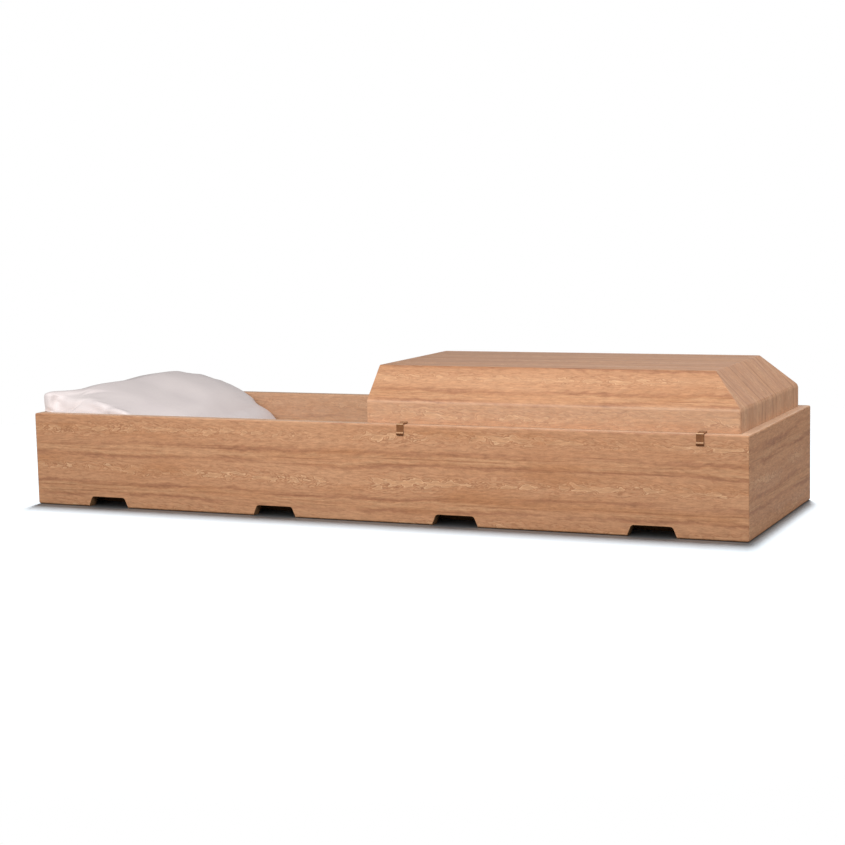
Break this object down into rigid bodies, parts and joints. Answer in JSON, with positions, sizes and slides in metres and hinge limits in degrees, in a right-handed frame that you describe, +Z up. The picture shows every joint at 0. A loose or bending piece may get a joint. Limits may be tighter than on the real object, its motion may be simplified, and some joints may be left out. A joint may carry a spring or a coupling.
{
  "type": "cremation container",
  "caption": "Long open board tray with hand notches and a raised floor, a lift-off hipped half lid over the foot end, rim clips and a pillow in the head end.",
  "frame": {"origin": "on the ground, below the middle of the tray", "axes": "+X along the tray towards the foot end with the lid, -Y towards the front, +Z up"},
  "size_m": [2.032, 0.6726, 0.399],
  "materials": {
    "oak_print_board": "golden oak grain printed on board, satin varnish",
    "brown_plastic": "moulded, satin",
    "white_satin": "white satin with a soft sheen"
  },
  "bodies": {
    "root": {"tray": "oak_print_board", "lid": "oak_print_board", "clip_front_head": "brown_plastic", "clip_front_foot": "brown_plastic", "clip_back_head": "brown_plastic", "clip_back_foot": "brown_plastic", "pillow": "white_satin"}
  },
  "joints": []
}
